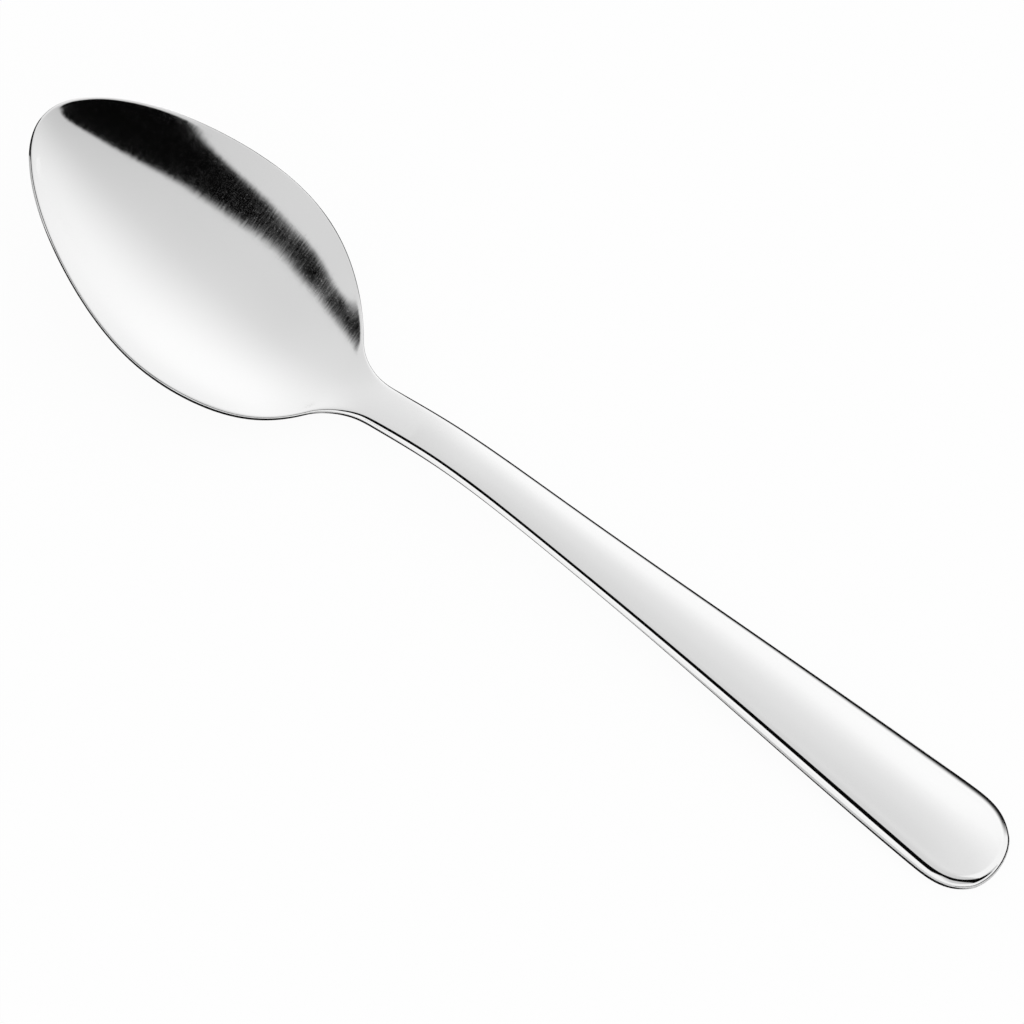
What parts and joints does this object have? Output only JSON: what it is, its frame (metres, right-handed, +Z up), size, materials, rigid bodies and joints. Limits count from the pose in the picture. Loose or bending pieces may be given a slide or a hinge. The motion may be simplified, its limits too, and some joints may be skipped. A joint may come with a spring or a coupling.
{
  "type": "dessert spoon",
  "caption": "Polished stainless steel dessert spoon with an egg-shaped hollow bowl, a narrow neck and an arched handle that widens to a rounded end.",
  "frame": {"origin": "on the table under the middle of the spoon's length, on its plane of symmetry", "axes": "+X from the bowl tip towards the handle end, +Z up from the table the spoon lies on, and Y across the spoon, which is even about Y = 0"},
  "size_m": [0.18, 0.0402, 0.0187],
  "materials": {
    "polished_steel": "bright polished stainless steel with very fine polishing lines"
  },
  "bodies": {
    "root": {"spoon": "polished_steel"}
  },
  "joints": []
}
